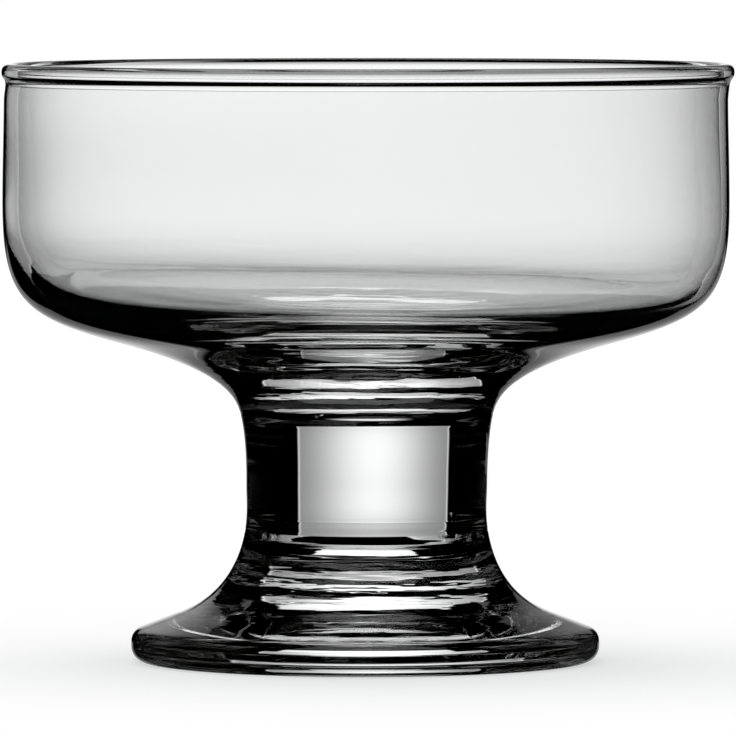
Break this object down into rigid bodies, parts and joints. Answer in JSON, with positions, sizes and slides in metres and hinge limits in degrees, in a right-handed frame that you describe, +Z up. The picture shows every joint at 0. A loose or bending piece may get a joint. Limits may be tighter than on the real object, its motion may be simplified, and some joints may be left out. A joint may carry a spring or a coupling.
{
  "type": "footed dessert glass",
  "caption": "Clear glass dessert cup: a wide upright bowl with a rolled rim on a short solid stem and a flared round foot.",
  "frame": {"origin": "centre of the flat ring under the foot that the glass rests on", "axes": "+Z up along the glass's axis of revolution, +X and +Y level"},
  "size_m": [0.1, 0.1, 0.0817],
  "materials": {
    "bowl_glass": "clear colourless glass, fire-polished, smooth inside and out",
    "stem_glass": "clear colourless pressed glass, solid, fire-polished",
    "foot_glass": "clear colourless pressed glass, fire-polished above, slightly scuffed on the ring that it rests on"
  },
  "bodies": {
    "root": {"bowl": "bowl_glass", "stem": "stem_glass", "foot": "foot_glass"}
  },
  "joints": []
}
